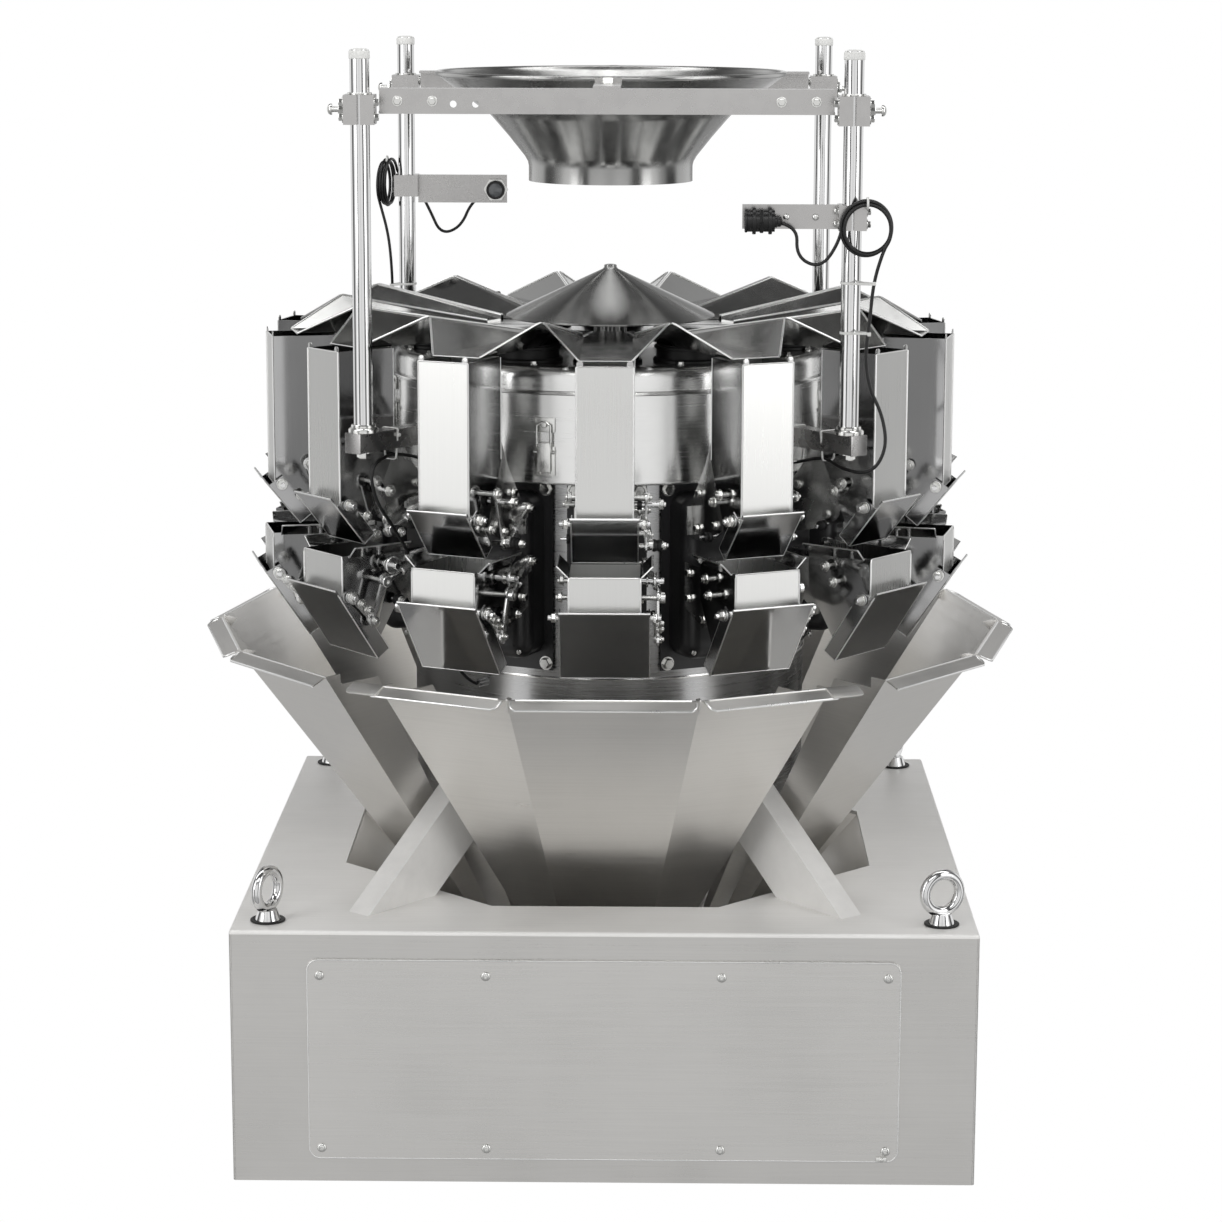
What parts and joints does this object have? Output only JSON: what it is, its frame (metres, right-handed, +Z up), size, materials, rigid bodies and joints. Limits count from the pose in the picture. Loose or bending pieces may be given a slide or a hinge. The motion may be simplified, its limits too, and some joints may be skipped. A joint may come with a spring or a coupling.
{
  "type": "multihead weigher",
  "caption": "Multihead weigher: ring of spring-gated feed and weigh hoppers round a column, radial feeder pans, infeed funnel on posts, discharge chutes and a square base",
  "frame": {"origin": "centre of the base's underside, on the surface the machine stands on", "axes": "+Z up; -Y is the front of the machine, with the front access cover; +X is the right-hand side seen from the front"},
  "size_m": [1.2856, 1.262, 1.655],
  "materials": {
    "base_steel": "satin stainless sheet, fine brushing",
    "black_cable": "black cable sheath, slightly shiny",
    "black_plastic": "black, slightly satin",
    "chrome_fittings": "polished stainless",
    "chute_steel": "satin stainless sheet",
    "column_steel": "satin stainless, in shade",
    "cover_steel": "satin stainless sheet, fine brushing along its length",
    "dark_plastic": "moulded drive cover, satin",
    "drive_rubber": "black rubber bellows",
    "drum_steel": "satin stainless sheet",
    "frame_steel": "satin stainless section",
    "funnel_steel": "polished stainless sheet",
    "gate_steel": "polished stainless sheet",
    "hanger_steel": "satin stainless plate",
    "hopper_steel": "light satin stainless sheet, mirror-bright edges",
    "pan_steel": "polished stainless sheet"
  },
  "bodies": {
    "machine": {"access_covers": "cover_steel", "arm_cable": "black_cable", "base_end_walls": "base_steel", "base_side_walls": "base_steel", "base_top_plate": "base_steel", "centre_column": "column_steel", "collecting_funnel": "funnel_steel", "drive_units": "dark_plastic", "end_chutes": "chute_steel", "feed_hoppers": "hopper_steel", "feeder_drives": "drive_rubber", "feeder_pans": "pan_steel", "funnel_beams": "frame_steel", "hopper_hangers": "hanger_steel", "infeed_funnel": "funnel_steel", "left_cord_coil": "black_cable", "left_cord_loop": "black_cable", "left_cord_tail": "black_cable", "lifting_eyes": "chrome_fittings", "post_arms": "frame_steel", "posts": "chrome_fittings", "right_cord_coil": "black_cable", "right_cord_loop": "black_cable", "right_cord_tail": "black_cable", "sensor_brackets": "frame_steel", "sensors": "black_plastic", "side_chutes": "chute_steel", "support_legs": "frame_steel", "top_cone": "pan_steel", "upper_drum": "drum_steel", "weigh_hoppers": "hopper_steel"},
    "feed_gate_01_body": {"feed_gate_01": "gate_steel"},
    "weigh_gate_01_body": {"weigh_gate_01": "gate_steel"},
    "feed_gate_02_body": {"feed_gate_02": "gate_steel"},
    "weigh_gate_02_body": {"weigh_gate_02": "gate_steel"},
    "feed_gate_03_body": {"feed_gate_03": "gate_steel"},
    "weigh_gate_03_body": {"weigh_gate_03": "gate_steel"},
    "feed_gate_04_body": {"feed_gate_04": "gate_steel"},
    "weigh_gate_04_body": {"weigh_gate_04": "gate_steel"},
    "feed_gate_05_body": {"feed_gate_05": "gate_steel"},
    "weigh_gate_05_body": {"weigh_gate_05": "gate_steel"},
    "feed_gate_06_body": {"feed_gate_06": "gate_steel"},
    "weigh_gate_06_body": {"weigh_gate_06": "gate_steel"},
    "feed_gate_07_body": {"feed_gate_07": "gate_steel"},
    "weigh_gate_07_body": {"weigh_gate_07": "gate_steel"},
    "feed_gate_08_body": {"feed_gate_08": "gate_steel"},
    "weigh_gate_08_body": {"weigh_gate_08": "gate_steel"},
    "feed_gate_09_body": {"feed_gate_09": "gate_steel"},
    "weigh_gate_09_body": {"weigh_gate_09": "gate_steel"},
    "feed_gate_10_body": {"feed_gate_10": "gate_steel"},
    "weigh_gate_10_body": {"weigh_gate_10": "gate_steel"},
    "feed_gate_11_body": {"feed_gate_11": "gate_steel"},
    "weigh_gate_11_body": {"weigh_gate_11": "gate_steel"},
    "feed_gate_12_body": {"feed_gate_12": "gate_steel"},
    "weigh_gate_12_body": {"weigh_gate_12": "gate_steel"},
    "feed_gate_13_body": {"feed_gate_13": "gate_steel"},
    "weigh_gate_13_body": {"weigh_gate_13": "gate_steel"},
    "feed_gate_14_body": {"feed_gate_14": "gate_steel"},
    "weigh_gate_14_body": {"weigh_gate_14": "gate_steel"}
  },
  "joints": [
    {"name": "feed_gate_01_hinge", "type": "hinge", "parent": "machine", "child": "feed_gate_01_body", "pos_m": [0, -0.528, 0.9866], "axis": [-1, 0, 0], "range_deg": [0, 38], "stiffness_Nm_per_rad": 0.4, "springref_deg": -28.65},
    {"name": "weigh_gate_01_hinge", "type": "hinge", "parent": "machine", "child": "weigh_gate_01_body", "pos_m": [0, -0.5376, 0.8513], "axis": [-1, 0, 0], "range_deg": [0, 36], "stiffness_Nm_per_rad": 0.5, "springref_deg": -28.65},
    {"name": "feed_gate_02_hinge", "type": "hinge", "parent": "machine", "child": "feed_gate_02_body", "pos_m": [-0.22909, -0.47571, 0.9866], "axis": [-0.901, 0.4339, 0], "range_deg": [0, 38], "stiffness_Nm_per_rad": 0.4, "springref_deg": -28.65},
    {"name": "weigh_gate_02_hinge", "type": "hinge", "parent": "machine", "child": "weigh_gate_02_body", "pos_m": [-0.23326, -0.48436, 0.8513], "axis": [-0.901, 0.4339, 0], "range_deg": [0, 36], "stiffness_Nm_per_rad": 0.5, "springref_deg": -28.65},
    {"name": "feed_gate_03_hinge", "type": "hinge", "parent": "machine", "child": "feed_gate_03_body", "pos_m": [-0.41281, -0.3292, 0.9866], "axis": [-0.6235, 0.7818, 0], "range_deg": [0, 38], "stiffness_Nm_per_rad": 0.4, "springref_deg": -28.65},
    {"name": "weigh_gate_03_hinge", "type": "hinge", "parent": "machine", "child": "weigh_gate_03_body", "pos_m": [-0.42031, -0.33519, 0.8513], "axis": [-0.6235, 0.7818, 0], "range_deg": [0, 36], "stiffness_Nm_per_rad": 0.5, "springref_deg": -28.65},
    {"name": "feed_gate_04_hinge", "type": "hinge", "parent": "machine", "child": "feed_gate_04_body", "pos_m": [-0.51476, -0.11749, 0.9866], "axis": [-0.2225, 0.9749, 0], "range_deg": [0, 38], "stiffness_Nm_per_rad": 0.4, "springref_deg": -28.65},
    {"name": "weigh_gate_04_hinge", "type": "hinge", "parent": "machine", "child": "weigh_gate_04_body", "pos_m": [-0.52412, -0.11963, 0.8513], "axis": [-0.2225, 0.9749, 0], "range_deg": [0, 36], "stiffness_Nm_per_rad": 0.5, "springref_deg": -28.65},
    {"name": "feed_gate_05_hinge", "type": "hinge", "parent": "machine", "child": "feed_gate_05_body", "pos_m": [-0.51476, 0.11749, 0.9866], "axis": [0.2225, 0.9749, 0], "range_deg": [0, 38], "stiffness_Nm_per_rad": 0.4, "springref_deg": -28.65},
    {"name": "weigh_gate_05_hinge", "type": "hinge", "parent": "machine", "child": "weigh_gate_05_body", "pos_m": [-0.52412, 0.11963, 0.8513], "axis": [0.2225, 0.9749, 0], "range_deg": [0, 36], "stiffness_Nm_per_rad": 0.5, "springref_deg": -28.65},
    {"name": "feed_gate_06_hinge", "type": "hinge", "parent": "machine", "child": "feed_gate_06_body", "pos_m": [-0.41281, 0.3292, 0.9866], "axis": [0.6235, 0.7818, 0], "range_deg": [0, 38], "stiffness_Nm_per_rad": 0.4, "springref_deg": -28.65},
    {"name": "weigh_gate_06_hinge", "type": "hinge", "parent": "machine", "child": "weigh_gate_06_body", "pos_m": [-0.42031, 0.33519, 0.8513], "axis": [0.6235, 0.7818, 0], "range_deg": [0, 36], "stiffness_Nm_per_rad": 0.5, "springref_deg": -28.65},
    {"name": "feed_gate_07_hinge", "type": "hinge", "parent": "machine", "child": "feed_gate_07_body", "pos_m": [-0.22909, 0.47571, 0.9866], "axis": [0.901, 0.4339, 0], "range_deg": [0, 38], "stiffness_Nm_per_rad": 0.4, "springref_deg": -28.65},
    {"name": "weigh_gate_07_hinge", "type": "hinge", "parent": "machine", "child": "weigh_gate_07_body", "pos_m": [-0.23326, 0.48436, 0.8513], "axis": [0.901, 0.4339, 0], "range_deg": [0, 36], "stiffness_Nm_per_rad": 0.5, "springref_deg": -28.65},
    {"name": "feed_gate_08_hinge", "type": "hinge", "parent": "machine", "child": "feed_gate_08_body", "pos_m": [0, 0.528, 0.9866], "axis": [1, 0, 0], "range_deg": [0, 38], "stiffness_Nm_per_rad": 0.4, "springref_deg": -28.65},
    {"name": "weigh_gate_08_hinge", "type": "hinge", "parent": "machine", "child": "weigh_gate_08_body", "pos_m": [0, 0.5376, 0.8513], "axis": [1, 0, 0], "range_deg": [0, 36], "stiffness_Nm_per_rad": 0.5, "springref_deg": -28.65},
    {"name": "feed_gate_09_hinge", "type": "hinge", "parent": "machine", "child": "feed_gate_09_body", "pos_m": [0.22909, 0.47571, 0.9866], "axis": [0.901, -0.4339, 0], "range_deg": [0, 38], "stiffness_Nm_per_rad": 0.4, "springref_deg": -28.65},
    {"name": "weigh_gate_09_hinge", "type": "hinge", "parent": "machine", "child": "weigh_gate_09_body", "pos_m": [0.23326, 0.48436, 0.8513], "axis": [0.901, -0.4339, 0], "range_deg": [0, 36], "stiffness_Nm_per_rad": 0.5, "springref_deg": -28.65},
    {"name": "feed_gate_10_hinge", "type": "hinge", "parent": "machine", "child": "feed_gate_10_body", "pos_m": [0.41281, 0.3292, 0.9866], "axis": [0.6235, -0.7818, 0], "range_deg": [0, 38], "stiffness_Nm_per_rad": 0.4, "springref_deg": -28.65},
    {"name": "weigh_gate_10_hinge", "type": "hinge", "parent": "machine", "child": "weigh_gate_10_body", "pos_m": [0.42031, 0.33519, 0.8513], "axis": [0.6235, -0.7818, 0], "range_deg": [0, 36], "stiffness_Nm_per_rad": 0.5, "springref_deg": -28.65},
    {"name": "feed_gate_11_hinge", "type": "hinge", "parent": "machine", "child": "feed_gate_11_body", "pos_m": [0.51476, 0.11749, 0.9866], "axis": [0.2225, -0.9749, 0], "range_deg": [0, 38], "stiffness_Nm_per_rad": 0.4, "springref_deg": -28.65},
    {"name": "weigh_gate_11_hinge", "type": "hinge", "parent": "machine", "child": "weigh_gate_11_body", "pos_m": [0.52412, 0.11963, 0.8513], "axis": [0.2225, -0.9749, 0], "range_deg": [0, 36], "stiffness_Nm_per_rad": 0.5, "springref_deg": -28.65},
    {"name": "feed_gate_12_hinge", "type": "hinge", "parent": "machine", "child": "feed_gate_12_body", "pos_m": [0.51476, -0.11749, 0.9866], "axis": [-0.2225, -0.9749, 0], "range_deg": [0, 38], "stiffness_Nm_per_rad": 0.4, "springref_deg": -28.65},
    {"name": "weigh_gate_12_hinge", "type": "hinge", "parent": "machine", "child": "weigh_gate_12_body", "pos_m": [0.52412, -0.11963, 0.8513], "axis": [-0.2225, -0.9749, 0], "range_deg": [0, 36], "stiffness_Nm_per_rad": 0.5, "springref_deg": -28.65},
    {"name": "feed_gate_13_hinge", "type": "hinge", "parent": "machine", "child": "feed_gate_13_body", "pos_m": [0.41281, -0.3292, 0.9866], "axis": [-0.6235, -0.7818, 0], "range_deg": [0, 38], "stiffness_Nm_per_rad": 0.4, "springref_deg": -28.65},
    {"name": "weigh_gate_13_hinge", "type": "hinge", "parent": "machine", "child": "weigh_gate_13_body", "pos_m": [0.42031, -0.33519, 0.8513], "axis": [-0.6235, -0.7818, 0], "range_deg": [0, 36], "stiffness_Nm_per_rad": 0.5, "springref_deg": -28.65},
    {"name": "feed_gate_14_hinge", "type": "hinge", "parent": "machine", "child": "feed_gate_14_body", "pos_m": [0.22909, -0.47571, 0.9866], "axis": [-0.901, -0.4339, 0], "range_deg": [0, 38], "stiffness_Nm_per_rad": 0.4, "springref_deg": -28.65},
    {"name": "weigh_gate_14_hinge", "type": "hinge", "parent": "machine", "child": "weigh_gate_14_body", "pos_m": [0.23326, -0.48436, 0.8513], "axis": [-0.901, -0.4339, 0], "range_deg": [0, 36], "stiffness_Nm_per_rad": 0.5, "springref_deg": -28.65}
  ]
}
